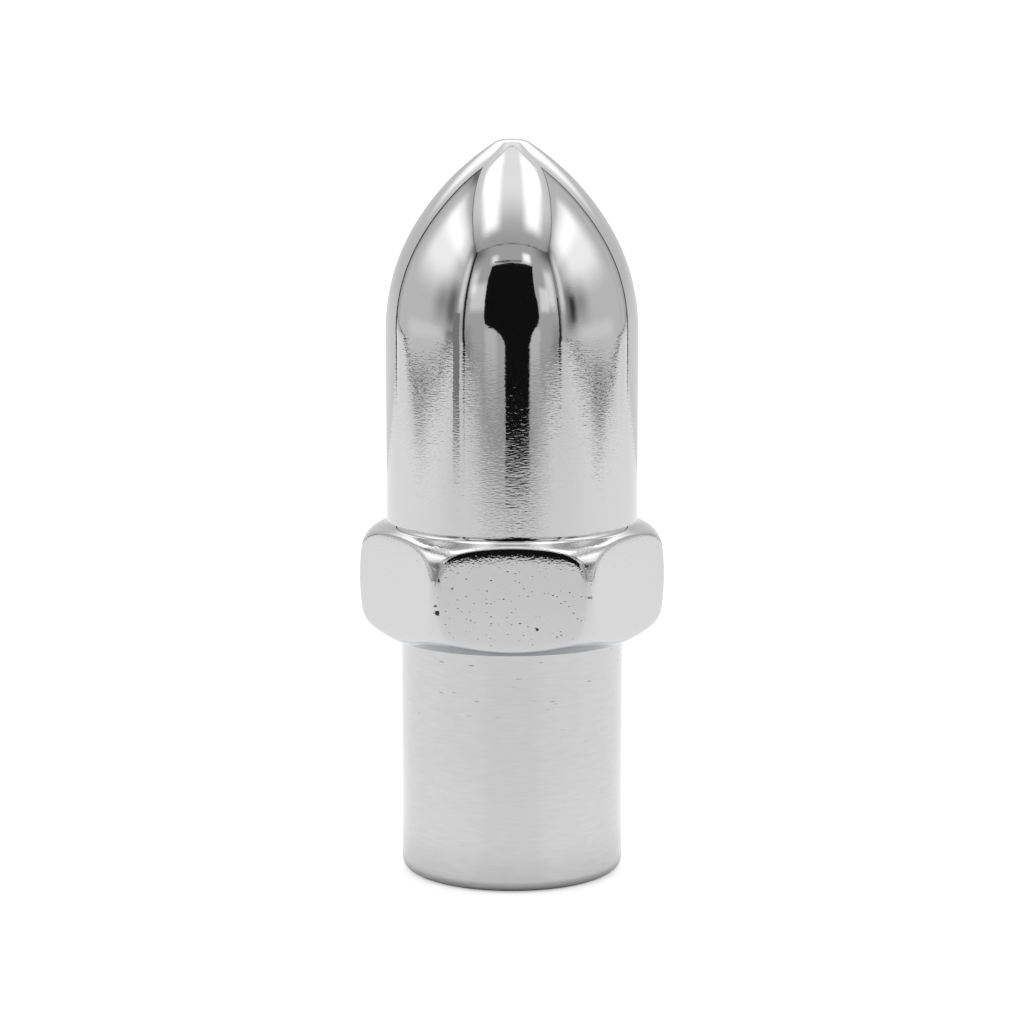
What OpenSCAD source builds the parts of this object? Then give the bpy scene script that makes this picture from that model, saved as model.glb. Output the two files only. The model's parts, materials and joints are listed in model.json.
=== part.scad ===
// Closed-end wheel lug nut with a plain shank, forged, turned and plated as one piece.
// It stands on the open end of its shank: +Z runs up to the nose, and one flat
// of the hex faces -Y. All sizes are in millimetres.

/* [Shank] */
// Diameter of the plain shank that centres the wheel
shank_d = 17.4; // [16.5:0.1:18.5]
// Length of the shank, from its open end to the seat under the hex
shank_len = 19; // [12:0.5:25]
// Rounding round the open end of the shank
shank_end_r = 0.9; // [0.3:0.1:1.2]
// Root fillet between the shank and the seat
root_r = 0.35; // [0.1:0.05:0.4]

/* [Hex] */
// Width across the flats, which is the socket size
hex_af = 21; // [20.5:0.5:22]
// Height of the hex on the axis, from the seat to the start of the body
hex_h = 8.8; // [7:0.2:14]
// Rounding of the six upright corners
hex_corner_r = 0.75; // [0.4:0.05:1.2]
// How far the turned blank takes the corners down, on the radius
corner_relief = 0.03; // [0.01:0.01:0.1]
// Radius of the barrel curve that the blank gives the corners
crown_r = 16; // [12:1:40]
// Outer diameter of the flat seat under the hex
seat_d = 19.7; // [18.8:0.1:20]
// Slope of the chamfer under the hex, up from level
low_angle = 31; // [20:1:40]
// Rounding between the lower chamfer and the corners
low_round = 1.55; // [0.5:0.05:2]
// Rounding along the arcs in which the flats meet the lower chamfer
low_edge_r = 0.8; // [0.3:0.1:1.2]
// Slope of the chamfer on top of the hex, down from level
top_angle = 27; // [15:1:35]
// Rounding between the upper chamfer and the corners
top_round = 1.95; // [0.5:0.05:2.2]
// Rounding along the arcs in which the flats meet the upper chamfer
top_edge_r = 0.6; // [0.3:0.1:0.9]
// Fillet between the upper chamfer and the body
neck_r = 0.5; // [0.2:0.1:0.6]

/* [Body and nose] */
// Diameter of the round body above the hex
body_d = 19.65; // [18.6:0.05:20]
// Length of the straight body, from the hex to the start of the nose
body_len = 15.1; // [8:0.1:25]
// Radius of the nose's shoulder curve, where it leaves the body
shoulder_r = 15.5; // [12:0.5:19]
// Angle that the shoulder curve turns through
shoulder_turn = 30; // [15:1:35]
// Radius of the longer, flatter curve from the shoulder to the tip
flank_r = 19.75; // [19.25:0.25:30]
// Rounding round the tip
tip_r = 1.5; // [0.5:0.1:3]
// Diameter of the small flat land on the tip
tip_land_d = 1.1; // [0.2:0.1:3]

/* [Stud hole] */
// Outer diameter of the stud's thread
thread_d = 12; // [10:0.5:14]
// Pitch of the stud's thread
thread_pitch = 1.5; // [1:0.25:1.75]
// Depth of the hole's straight wall, from the open end
bore_depth = 40; // [25:1:42]
// How far the mouth's chamfer opens beyond the thread, on the radius
mouth_clear = 0.3; // [0.1:0.1:0.5]
// Angle of the chamfer at the mouth, from the axis
mouth_angle = 45; // [30:5:60]
// Full angle of the drill point that ends the hole
drill_angle = 118; // [90:1:140]

/* [Hidden] */
$fn = 120;

flats = 6;
half_side = 180 / flats;
lap = 1; // how far one form runs on past another that it joins or cuts
seam = 0.001; // how far a rounding stands proud, so that it crosses its neighbours cleanly
spread = 2; // angle by which neighbouring cuts overlap
flare = 6; // angle by which an edge's rounding stops short of its chamfer's slope

shank_rad = shank_d / 2;
body_rad = body_d / 2;
seat_rad = seat_d / 2;
flat_rad = hex_af / 2;
bore_rad = (thread_d - thread_pitch) / 2;
mouth_rad = thread_d / 2 + mouth_clear;
mouth_h = (mouth_rad - bore_rad) / tan(mouth_angle);
drill_h = bore_rad / tan(drill_angle / 2);

hex_mid = shank_len + hex_h / 2;
hex_top = shank_len + hex_h;
nose_z = hex_top + body_len;

// Upright corners: centre of the rounding, and the radius over the corners
corner_centre = (flat_rad - hex_corner_r) / cos(half_side);
corner_rad = corner_centre + hex_corner_r - corner_relief;
blank_end = corner_rad + lap;

function dir(a) = [cos(a), sin(a)];
function angle_of(v) = atan2(v.y, v.x);

// Centre of a rounding of radius r that touches the line through p along u,
// on the side that n points to, and also the inside of a circle (c, big_r)
function round_centre(p, u, n, r, c, big_r) =
    let (q = p + r * n - c, along = q * u)
    p + r * n + u * (sqrt(along * along - q * q + pow(big_r - r, 2)) - along);

// Section of the hex's blank, as [radius, height]: the barrel curve, and the
// roundings between it and the two chamfers
crown_c = [corner_rad - crown_r, hex_mid];
low_u = dir(low_angle);
low_n = [-low_u.y, low_u.x];
low_c = round_centre([seat_rad, shank_len], low_u, low_n, low_round, crown_c, crown_r);
top_u = dir(-top_angle);
top_n = [top_u.y, -top_u.x];
top_c = round_centre([body_rad, hex_top], top_u, top_n, top_round, crown_c, crown_r);

// Section of the nose: shoulder, flank and tip curves, each tangent to the last
shoulder_c = [body_rad - shoulder_r, nose_z];
flank_c = shoulder_c + (shoulder_r - flank_r - seam) * dir(shoulder_turn);
tip_turn = acos((tip_land_d / 2 - flank_c.x) / (flank_r - tip_r));
tip_c = flank_c + (flank_r - tip_r) * dir(tip_turn);
overall_len = tip_c.y + tip_r;

// What lies outside a disc about c, between its radii at angles a0 and a1.
// Taken from a section, it leaves that stretch of the disc's edge.
module outside(c, r, a0, a1) {
    reach = 3 * r / cos((a1 - a0) / 2);
    difference() {
        polygon([c, c + reach * dir(a0), c + reach * dir(a1)]);
        translate(c) circle(r);
    }
}

// The same for a rounding, which stands proud of its neighbours by the seam
module round_off(c, r, a0, a1) {
    outside(c + seam * dir((a0 + a1) / 2), r, a0, a1);
}

// Half section of the shank, with its rounded end and root fillet
module shank_section() {
    difference() {
        square([shank_rad, hex_mid]);
        outside([shank_rad - shank_end_r, shank_end_r], shank_end_r, -90, 0);
    }
    difference() {
        translate([shank_rad - lap, shank_len - root_r]) square([lap + root_r, 2 * root_r]);
        translate([shank_rad + root_r, shank_len - root_r]) circle(root_r);
    }
}

// Half section of the body and the nose, with the fillet at the body's foot
module body_section() {
    neck_run = neck_r * tan((90 - top_angle) / 2);
    neck_c = [body_rad + neck_r, hex_top + neck_run];
    difference() {
        polygon([
            [body_rad - lap, neck_c.y], [body_rad - lap, hex_top - lap],
            [body_rad, hex_top] + neck_run * top_u, [body_rad, neck_c.y]
        ]);
        translate(neck_c) circle(neck_r);
    }
    difference() {
        translate([0, hex_mid]) square([body_rad, overall_len - hex_mid]);
        outside(shoulder_c, shoulder_r, 0, shoulder_turn);
        outside(flank_c, flank_r, shoulder_turn - spread, tip_turn + spread);
        round_off(tip_c, tip_r, tip_turn, 90);
    }
}

// Half section of the turned blank that the hex is cut on
module blank_section() {
    low_rise = (blank_end - seat_rad) * tan(low_angle);
    top_fall = (blank_end - body_rad) * tan(top_angle);
    difference() {
        intersection() {
            polygon([
                [0, shank_len], [seat_rad, shank_len], [blank_end, shank_len + low_rise],
                [blank_end, hex_top - top_fall], [body_rad, hex_top] - lap * top_u,
                [0, hex_top + lap * tan(top_angle)]
            ]);
            translate(crown_c) circle(crown_r);
        }
        round_off(low_c, low_round, low_angle - 90, angle_of(low_c - crown_c));
        round_off(top_c, top_round, angle_of(top_c - crown_c), 90 - top_angle);
    }
}

// Hexagon with rounded corners and a flat facing -Y
module hex_outline() {
    difference() {
        intersection_for(i = [0:flats / 2 - 1])
            rotate(2 * i * half_side) square([3 * flat_rad, 2 * flat_rad], center = true);
        for (i = [0:flats - 1])
            rotate(2 * i * half_side)
                round_off([corner_centre, 0], hex_corner_r, -half_side, half_side);
    }
}

// Wide round plate, square to the flat on +X, whose rim softens the arc in which that flat
// meets a chamfer. Its circle is the one that fits the arc best at the flat's middle. The rim
// is rounded, and flares inwards a little steeper than the chamfer, so that it stays clear.
module rim_plate(edge_r, chamfer) {
    slope = chamfer + flare;
    c = [flat_rad / tan(chamfer) - edge_r * tan((90 - chamfer) / 2), flat_rad - edge_r];
    touch = c + edge_r * dir(slope);
    back = touch.x + (touch.y + blank_end) * tan(slope);
    front = touch.x + (touch.y - blank_end) * tan(slope);
    rotate([0, 90, 0]) rotate_extrude() difference() {
        polygon([[0, -blank_end], [back, -blank_end], [front, blank_end], [0, blank_end]]);
        round_off(c, edge_r, slope, 90);
    }
}

// Room inside the softened edges of the flat on +X: the plates of its two arcs, crossed
module flat_edges() {
    low_edge_z = shank_len + (flat_rad - seat_rad) * tan(low_angle);
    top_edge_z = hex_top - (flat_rad - body_rad) * tan(top_angle);
    intersection() {
        translate([0, 0, low_edge_z + flat_rad / tan(low_angle)]) rim_plate(low_edge_r, low_angle);
        translate([0, 0, top_edge_z - flat_rad / tan(top_angle)]) rim_plate(top_edge_r, top_angle);
    }
}

// The collar: six flats on the turned blank, and then the edges of one flat after another
module hex_collar(edged = flats) {
    if (edged == 0) intersection() {
        translate([0, 0, shank_len - lap]) linear_extrude(hex_h + 3 * lap) hex_outline();
        rotate_extrude() blank_section();
    }
    else intersection() {
        hex_collar(edged - 1);
        rotate((2 * edged + 1) * half_side) flat_edges();
    }
}

// Blind hole for the stud, at the thread's tapping size
module stud_hole() {
    translate([0, 0, -lap]) cylinder(h = bore_depth + lap, r = bore_rad);
    translate([0, 0, bore_depth]) cylinder(h = drill_h, r1 = bore_rad, r2 = 0);
    translate([0, 0, -lap])
        cylinder(h = mouth_h + lap, r1 = mouth_rad + lap * tan(mouth_angle), r2 = bore_rad);
}

module lug_nut() {
    color("silver") difference() {
        union() {
            rotate_extrude() {
                shank_section();
                body_section();
            }
            hex_collar();
        }
        stud_hole();
    }
}

lug_nut();
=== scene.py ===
# %% [markdown]
# # A closed-end lug nut in chrome plate
#
# The nut screws onto a wheel stud and clamps the wheel. It is cold-forged from one piece of
# steel: a plain round shank that enters the wheel, a hexagonal collar for the socket, and a
# round body that ends in a pointed dome and hides the stud. Then it is turned, polished and
# chrome plated.
#
# The lesson builds one closed mesh for the nut, gives it its plated and machined finishes, and
# sets it in a small light tent, because a mirror-bright part shows little but its surroundings.

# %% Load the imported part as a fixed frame
import json
import math

import bpy
import numpy as np
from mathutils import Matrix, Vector

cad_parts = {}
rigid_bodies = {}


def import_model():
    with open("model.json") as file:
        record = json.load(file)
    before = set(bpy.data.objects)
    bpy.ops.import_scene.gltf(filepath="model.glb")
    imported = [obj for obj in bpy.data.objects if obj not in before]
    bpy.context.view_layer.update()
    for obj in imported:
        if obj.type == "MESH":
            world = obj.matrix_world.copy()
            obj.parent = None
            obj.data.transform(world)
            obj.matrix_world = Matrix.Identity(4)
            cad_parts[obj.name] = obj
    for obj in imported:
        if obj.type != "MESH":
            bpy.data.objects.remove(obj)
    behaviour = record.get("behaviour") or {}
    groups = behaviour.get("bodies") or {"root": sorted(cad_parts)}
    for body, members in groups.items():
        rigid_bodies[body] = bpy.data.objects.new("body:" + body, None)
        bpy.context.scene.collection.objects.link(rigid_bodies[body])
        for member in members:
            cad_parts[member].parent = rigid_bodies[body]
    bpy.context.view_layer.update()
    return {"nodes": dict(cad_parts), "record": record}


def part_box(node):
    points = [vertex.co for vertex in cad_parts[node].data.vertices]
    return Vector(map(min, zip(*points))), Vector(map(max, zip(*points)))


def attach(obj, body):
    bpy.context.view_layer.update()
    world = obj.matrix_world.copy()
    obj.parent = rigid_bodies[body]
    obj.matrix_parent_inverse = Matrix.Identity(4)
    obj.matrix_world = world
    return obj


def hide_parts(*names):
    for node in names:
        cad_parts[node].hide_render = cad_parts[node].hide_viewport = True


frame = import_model()

# %% [markdown]
# ## Sizes
#
# Everything in Blender is in metres, so a millimetre gets a name. The sizes that another part
# has to fit come from the record's mounts: the shank, the seat, the flats for the socket and the
# threaded hole for the stud. The overall height comes from the solid's own box. The remaining
# sizes are the radii and angles that shape it.

# %% Sizes from the record
MM = 0.001
NODE = "lug_nut"
mounts = {mount["name"]: mount for mount in frame["record"]["mounts"]}
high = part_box(NODE)[1]

shank_rad = mounts["shank"]["dims"]["r_mm"] * MM
seat_z = mounts["seat"]["pos_m"][2]
flat_rad = -mounts["hex_flat"]["pos_m"][1]
hex_mid = mounts["hex_flat"]["pos_m"][2]
bore_rad = mounts["stud_thread"]["dims"]["r_mm"] * MM
hex_top = 2 * hex_mid - seat_z
corner_rad = high.x
print(f"shank {2 * shank_rad / MM:.1f} mm, flats {2 * flat_rad / MM:.1f} mm")
print(f"height {high.z / MM:.2f} mm")

# %% Radii and angles of the section
body_rad = 9.825 * MM
body_len = 15.1 * MM
nose_z = hex_top + body_len
shank_end_r = 0.9 * MM
root_r = 0.35 * MM
seat_rad = 9.85 * MM
low_angle = math.radians(31)
top_angle = math.radians(27)
low_round = 1.55 * MM
top_round = 1.95 * MM
crown_r = 16 * MM
corner_r = 0.75 * MM
neck_r = 0.5 * MM
shoulder_r = 15.5 * MM
shoulder_turn = math.radians(30)
flank_r = 19.75 * MM
tip_r = 1.5 * MM
tip_land_rad = 0.55 * MM
thread_depth = 0.75 * MM
thread_pitch = 1.5 * MM
mouth_rad = bore_rad + 1.05 * MM
bore_depth = 40 * MM
drill_slope = math.radians(59)

# %% [markdown]
# ## The turned section
#
# On a lathe the nut's outside is one line swept round the axis. The line is drawn the same way
# here: points along straight runs, and arcs that meet them without a kink. A chrome surface
# shows the smallest kink as a bend in its reflections, so the arcs get a point for less than
# each degree of turn, and straight runs get few.

# %% Helpers for points of the section, as (radius, height)
def direction(angle):
    """Unit vector at an angle from the radius axis."""
    return Vector((math.cos(angle), math.sin(angle)))


def arc(centre, radius, start, end, steps):
    """Points along an arc, from the angle start to the angle end."""
    turns = [start + (end - start) * i / steps for i in range(steps + 1)]
    return [centre + radius * direction(turn) for turn in turns]


def tangent_centre(point, along, normal, radius, big_centre, big_radius):
    """Centre of a rounding that touches a line on one side and lies inside a bigger circle."""
    start = point + radius * normal - big_centre
    reach = start.dot(along)
    root = math.sqrt(reach * reach - start.dot(start) + (big_radius - radius) ** 2)
    return point + radius * normal + along * (root - reach)


# %% Arcs of the nose
shoulder_c = Vector((body_rad - shoulder_r, nose_z))
flank_c = shoulder_c + (shoulder_r - flank_r) * direction(shoulder_turn)
tip_turn = math.acos((tip_land_rad - flank_c.x) / (flank_r - tip_r))
tip_c = flank_c + (flank_r - tip_r) * direction(tip_turn)
nose_error = tip_c.y + tip_r - high.z
print(f"nose: tip {(tip_c.y + tip_r) / MM:.3f} mm up, {nose_error / MM:+.3f} mm from the solid")

# %% Arcs of the hexagon's blank, and its radius at a height
crown_c = Vector((corner_rad - crown_r, hex_mid))
low_u = direction(low_angle)
low_n = Vector((-low_u.y, low_u.x))
low_c = tangent_centre(Vector((seat_rad, seat_z)), low_u, low_n, low_round, crown_c, crown_r)
top_u = direction(-top_angle)
top_n = Vector((top_u.y, -top_u.x))
top_c = tangent_centre(Vector((body_rad, hex_top)), top_u, top_n, top_round, crown_c, crown_r)
low_foot = low_c - low_round * low_n
top_foot = top_c - top_round * top_n
low_join = crown_c + crown_r * (low_c - crown_c).normalized()
top_join = crown_c + crown_r * (top_c - crown_c).normalized()


def circle_radius(centre, radius, z):
    """How far out a circle of the section reaches at the height z."""
    return centre.x + np.sqrt(np.maximum(radius**2 - (z - centre.y) ** 2, 0))


def blank_radius(z):
    """Radius of the turned blank that the hexagon is pressed on, at the height z."""
    parts = [
        (z < low_foot.y, seat_rad + (z - seat_z) / math.tan(low_angle)),
        (z < low_join.y, circle_radius(low_c, low_round, z)),
        (z < top_join.y, circle_radius(crown_c, crown_r, z)),
        (z < top_foot.y, circle_radius(top_c, top_round, z)),
    ]
    rest = body_rad + (hex_top - z) / math.tan(top_angle)
    return np.select([where for where, _ in parts], [radius for _, radius in parts], rest)


print(f"blank: {float(blank_radius(hex_mid)) / MM:.3f} mm at its widest")

# %% [markdown]
# ## The hexagon's faces
#
# The six flats are pressed into the blank in a die. Where a flat runs out on the blank's cones
# its edge is an arc, and the metal doesn't fill the die there: each flat rolls off gently over
# the last part of a millimetre, then turns quickly onto the cone. Cutting the blank with six
# planes would leave knife edges and long thin faces that can't be rounded evenly. So the collar
# is given as a radius for each direction and height, with a soft minimum of the blank and the
# flat, and the mesh's rows follow the arcs.

# %% Radius of the hexagon with rounded corners, in a direction
SIDES = 6
HALF_SIDE = math.pi / SIDES
corner_centre = (flat_rad - corner_r) / math.cos(HALF_SIDE)
corner_start = math.atan((flat_rad - corner_r) * math.tan(HALF_SIDE) / flat_rad)


def off_flat(angle):
    """Angle from the middle of the nearest flat. A corner of the hexagon is at angle 0."""
    return np.mod(angle, 2 * HALF_SIDE) - HALF_SIDE


def hex_radius(angle):
    """Radius of the hexagon at an angle from the middle of a flat."""
    angle = np.abs(angle)
    beside = HALF_SIDE - angle
    on_corner = corner_centre * np.cos(beside) + np.sqrt(
        np.maximum(corner_r**2 - (corner_centre * np.sin(beside)) ** 2, 0)
    )
    return np.where(angle < corner_start, flat_rad / np.cos(angle), on_corner)


print(f"hexagon: {float(hex_radius(HALF_SIDE)) / MM:.3f} mm over its corner radius")

# %% The collar's surface
TOP_ROLL = 1.2 * MM
LOW_ROLL = 0.8 * MM
ROLL_SLOPE = 0.16
EDGE_BLEND = 0.3 * MM
CORNER_BLEND = 0.14 * MM


def soft_min(a, b, blend):
    """The smaller of two lengths, rounded over where they are within blend of each other."""
    near = np.maximum(blend - np.abs(a - b), 0)
    return np.minimum(a, b) - near * near / (4 * blend)


def cornerness(angle):
    """0 at the middle of a flat, 1 on a corner."""
    reach = np.minimum(hex_radius(angle), corner_rad)
    return (reach - flat_rad) / (corner_rad - flat_rad)


def arc_heights(angle):
    """Heights at which a flat runs out on the lower and on the upper cone."""
    reach = np.minimum(hex_radius(angle), corner_rad)
    low_z = seat_z + (reach - seat_rad) * math.tan(low_angle)
    top_z = hex_top - (reach - body_rad) * math.tan(top_angle)
    return low_z, top_z


def roll_off(depth, roll):
    """How far a flat falls back near its edge, at a depth inside the edge."""
    return ROLL_SLOPE / (3 * roll**2) * np.maximum(roll - depth, 0) ** 3


def collar_radius(angle, z):
    """Radius of the collar at an angle from the middle of a flat and a height."""
    low_z, top_z = arc_heights(angle)
    share = cornerness(angle)
    fall = (roll_off(top_z - z, TOP_ROLL) + roll_off(z - low_z, LOW_ROLL)) * (1 - share**2)
    blend = EDGE_BLEND + (CORNER_BLEND - EDGE_BLEND) * share
    return soft_min(blank_radius(z), hex_radius(angle) - fall, blend)


# %% Rows of the collar: stretches between heights that follow the arcs, and rows in each
NECK_RUN = neck_r / math.tan((math.pi / 2 + top_angle) / 2)
neck_foot = Vector((body_rad, hex_top)) + NECK_RUN * top_u
COLLAR_ROWS = (4, 11, 8, 6, 14, 9, 4)


def collar_heights(angle):
    """Heights of the collar's rows at an angle from the middle of a flat."""
    # The rows crowd round the arcs, and take in more of the flat near a corner.
    low_z, top_z = arc_heights(angle)
    share = cornerness(angle)
    marks = [
        np.full_like(low_z, seat_z),
        low_z - (0.2 + 0.7 * share) * MM,
        low_z + (0.3 + 0.5 * share) * MM,
        low_z + (1.0 + 0.5 * share) * MM,
        top_z - (1.2 + 0.7 * share) * MM,
        top_z - 0.08 * MM - 0.9 * share * MM,
        top_z + (0.17 + 0.55 * share) * MM,
        np.full_like(low_z, neck_foot.y),
    ]
    rows = []
    for start, end, count in zip(marks, marks[1:], COLLAR_ROWS):
        rows += [start + (end - start) * i / count for i in range(count)]
    return np.array(rows + [marks[-1]])


corner_heights = collar_heights(np.array([HALF_SIDE]))[:, 0]
print(f"collar: {len(corner_heights)} rows from {corner_heights[0] / MM:.2f} mm up")

# %% The whole outside section, from the hole's mouth to the tip
END_STEPS = 10
SHANK_ROWS = 6
ROOT_STEPS = 6
SEAT_ROWS = 1
NECK_STEPS = 9
BODY_ROWS = 5
STEP_TURN = math.radians(0.8)
TIP_STEPS = 14
# A row this close above the neck's fillet keeps the body's smooth shading level
NECK_GUARD = Vector((0, 0.12 * MM))


def run(start, end, count):
    """Points inside a straight run, without its ends."""
    return [start.lerp(end, i / (count + 1)) for i in range(1, count + 1)]


end_c = Vector((shank_rad - shank_end_r, shank_end_r))
end_arc = arc(end_c, shank_end_r, -math.pi / 2, 0, END_STEPS)
root_c = Vector((shank_rad + root_r, seat_z - root_r))
root_arc = arc(root_c, root_r, math.pi, math.pi / 2, ROOT_STEPS)
collar = [Vector((collar_radius(HALF_SIDE, z), z)) for z in corner_heights]
neck_c = neck_foot + neck_r * Vector((math.sin(top_angle), math.cos(top_angle)))
neck_arc = arc(neck_c, neck_r, -math.pi / 2 - top_angle, -math.pi, NECK_STEPS)
shoulder = arc(shoulder_c, shoulder_r, 0, shoulder_turn, round(shoulder_turn / STEP_TURN))
flank_steps = round((tip_turn - shoulder_turn) / STEP_TURN)
flank = arc(flank_c, flank_r, shoulder_turn, tip_turn, flank_steps)
tip = arc(tip_c, tip_r, tip_turn, math.pi / 2, TIP_STEPS)
section = (
    end_arc
    + run(end_arc[-1], root_arc[0], SHANK_ROWS)
    + root_arc
    + run(root_arc[-1], collar[0], SEAT_ROWS)
    + collar
    + neck_arc[1:]
    + [neck_arc[-1] + NECK_GUARD]
    + run(neck_arc[-1], shoulder[0], BODY_ROWS)
    + shoulder
    + flank[1:]
    + tip[1:]
    + [Vector((0, high.z))]
)
print(f"section: {len(section)} points")

# %% [markdown]
# ## Drawing and turning the outside
#
# The line is drawn as by hand: a plane primitive is merged to one vertex, moved to the start and
# extruded from point to point. Spin then turns it round the axis, as the lathe turns the bar.
# The last copy lies on the first, so doubles are merged, which also closes the tip to one vertex.

# %% Draw a line of points and spin it
def draw_line(name, places):
    """A new object with a line of extruded vertices through the places, still in edit mode."""
    bpy.ops.object.select_all(action="DESELECT")
    bpy.ops.mesh.primitive_plane_add(size=MM, location=(0, 0, 0))
    piece = bpy.context.object
    piece.name = name
    piece.data.name = name
    bpy.ops.object.mode_set(mode="EDIT")
    bpy.ops.mesh.select_mode(type="VERT")
    bpy.ops.mesh.select_all(action="SELECT")
    bpy.ops.mesh.merge(type="CENTER")
    bpy.ops.transform.translate(value=places[0])
    for here, there in zip(places, places[1:]):
        step = Vector(there) - Vector(here)
        bpy.ops.mesh.extrude_vertices_move(TRANSFORM_OT_translate={"value": step})
    bpy.ops.mesh.select_all(action="SELECT")
    return piece


def spin_section(name, points, steps):
    """The section turned once round the Z axis, closed where it meets itself."""
    piece = draw_line(name, [(point.x, 0, point.y) for point in points])
    bpy.ops.mesh.spin(steps=steps, angle=2 * math.pi, center=(0, 0, 0), axis=(0, 0, 1))
    bpy.ops.mesh.select_all(action="SELECT")
    bpy.ops.mesh.remove_doubles(threshold=1e-4 * MM)
    bpy.ops.object.mode_set(mode="OBJECT")
    return piece


MERIDIANS = 64 * SIDES
nut = spin_section("nut", section, MERIDIANS)
print(f"outside: {len(nut.data.vertices)} vertices, {len(nut.data.polygons)} faces")

# %% Read and write a mesh's points as one array
def get_points(piece):
    """The mesh's vertices as an array of X, Y and Z."""
    flat = np.empty(len(piece.data.vertices) * 3)
    piece.data.vertices.foreach_get("co", flat)
    return flat.reshape(-1, 3)


def get_polar(piece):
    """Each vertex's radius and angle about the axis, and its height."""
    x, y, z = get_points(piece).T
    return np.hypot(x, y), np.arctan2(y, x), z


def set_polar(piece, radius, angle, z):
    """Puts the mesh's vertices at a radius and angle about the axis, and a height."""
    points = np.column_stack([radius * np.cos(angle), radius * np.sin(angle), z])
    piece.data.vertices.foreach_set("co", points.ravel())
    piece.data.update()


# %% [markdown]
# ## Pressing the hexagon
#
# Spin leaves equal steps round the axis. The hexagon's corners turn sixty degrees within less
# than a millimetre, so the meridians are first drawn together towards the corners. That fades
# out along the plain cylinders above and below, where a sliding vertex changes nothing. Then
# every vertex of the collar's rows goes to its own height and radius, as a die moves the metal.

# %% Crowd the meridians towards the corners and press the collar
CROWDING = 0.7
ON_ROW = 1e-3 * MM
radius, angle, height = get_polar(nut)
fade_z = [shank_end_r, 0.6 * seat_z, hex_top + 3 * MM, nose_z]
crowding = np.interp(height, fade_z, [0, CROWDING, CROWDING, 0])
angle = angle - crowding / SIDES * np.sin(SIDES * angle)
corner_radii = np.array([point.x for point in collar])
row_gap = np.abs(height[:, None] - corner_heights) + np.abs(radius[:, None] - corner_radii)
row = row_gap.argmin(axis=1)
in_collar = row_gap.min(axis=1) < ON_ROW
off = off_flat(angle[in_collar])
height[in_collar] = collar_heights(off)[row[in_collar], np.arange(in_collar.sum())]
radius[in_collar] = collar_radius(off, height[in_collar])
set_polar(nut, radius, angle, height)
print(f"collar: {in_collar.sum()} vertices pressed")
print(f"{2 * radius.max() / MM:.2f} mm over the corners")

# %% [markdown]
# ## The threaded hole
#
# The stud's hole is drilled, chamfered at the mouth and tapped, so it ends in the drill's point
# and its thread fades out above it. A thread is a groove that climbs as it goes round: here the
# hole is spun from close rows, and each vertex is then pushed out by the depth of a 60 degree
# groove at its angle and height. A tap cuts the same shape, and the mesh stays closed.

# %% Spin the hole and cut its thread
BORE_MERIDIANS = 64
ROWS_PER_PITCH = 12
MOUTH_ROWS = 10
FLANK_SLOPE = 1 / math.tan(math.radians(30))
THREAD_END = bore_depth - 2 * thread_pitch
RUNOUT = 2 * MM
mouth_h = mouth_rad - bore_rad
point_h = bore_rad / math.tan(drill_slope)
thread_rows = round((bore_depth - mouth_h) / thread_pitch * ROWS_PER_PITCH)
mouth = Vector((mouth_rad, 0))
throat = Vector((bore_rad, mouth_h))
hole_end = Vector((bore_rad, bore_depth))
hole_section = (
    [mouth]
    + run(mouth, throat, MOUTH_ROWS)
    + [throat]
    + run(throat, hole_end, thread_rows)
    + [hole_end, Vector((0, bore_depth + point_h))]
)
hole = spin_section("hole", hole_section, BORE_MERIDIANS)


def thread_cut(angle, z):
    """Depth of the thread's groove at an angle and a height: right-handed, fading at its end."""
    turn = np.mod(z / thread_pitch - angle / (2 * math.pi), 1)
    from_groove = np.abs(turn - 0.5) * thread_pitch - thread_pitch / 16
    depth = np.clip(thread_depth - from_groove * FLANK_SLOPE, 0, thread_depth)
    return depth * np.clip((THREAD_END - z) / RUNOUT, 0, 1)


radius, angle, height = get_polar(hole)
tapped = (height < bore_depth - 0.1 * MM) & (height > 0.01 * MM)
cut = np.maximum(radius, bore_rad + thread_cut(angle, height))
set_polar(hole, np.where(tapped, cut, radius), angle, height)
print(f"hole: {len(hole.data.polygons)} faces, {(THREAD_END - mouth_h) / thread_pitch:.0f} turns")

# %% [markdown]
# ## Closing the flat end
#
# The hole has fewer steps round the axis than the outside, because it is seen less. Bridging two
# rings of different counts can pair them across the hole, so the flat ring between them is
# filled instead: fill lays triangles between the rings that are selected, and leaves the inner
# one open.

# %% Join the hole to the outside across the flat end
def select_edges(piece, wanted):
    """Leaves only the edges selected whose two ends satisfy wanted, and enters edit mode."""
    bpy.ops.object.mode_set(mode="EDIT")
    bpy.ops.mesh.select_mode(type="EDGE")
    bpy.ops.mesh.select_all(action="DESELECT")
    bpy.ops.object.mode_set(mode="OBJECT")
    vertices = piece.data.vertices
    for edge in piece.data.edges:
        edge.select = all(wanted(vertices[i].co) for i in edge.vertices)
    bpy.ops.object.mode_set(mode="EDIT")


SHARP_ANGLE = math.radians(28)
bpy.ops.object.select_all(action="DESELECT")
hole.select_set(True)
nut.select_set(True)
bpy.context.view_layer.objects.active = nut
bpy.ops.object.join()
select_edges(nut, lambda place: abs(place.z) < ON_ROW)
bpy.ops.mesh.fill(use_beauty=True)
bpy.ops.mesh.select_all(action="SELECT")
bpy.ops.mesh.normals_make_consistent(inside=False)
bpy.ops.object.mode_set(mode="OBJECT")
bpy.ops.object.shade_smooth_by_angle(angle=SHARP_ANGLE)
triangles = sum(len(face.vertices) - 2 for face in nut.data.polygons)
print(f"nut: {triangles} triangles")

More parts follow.
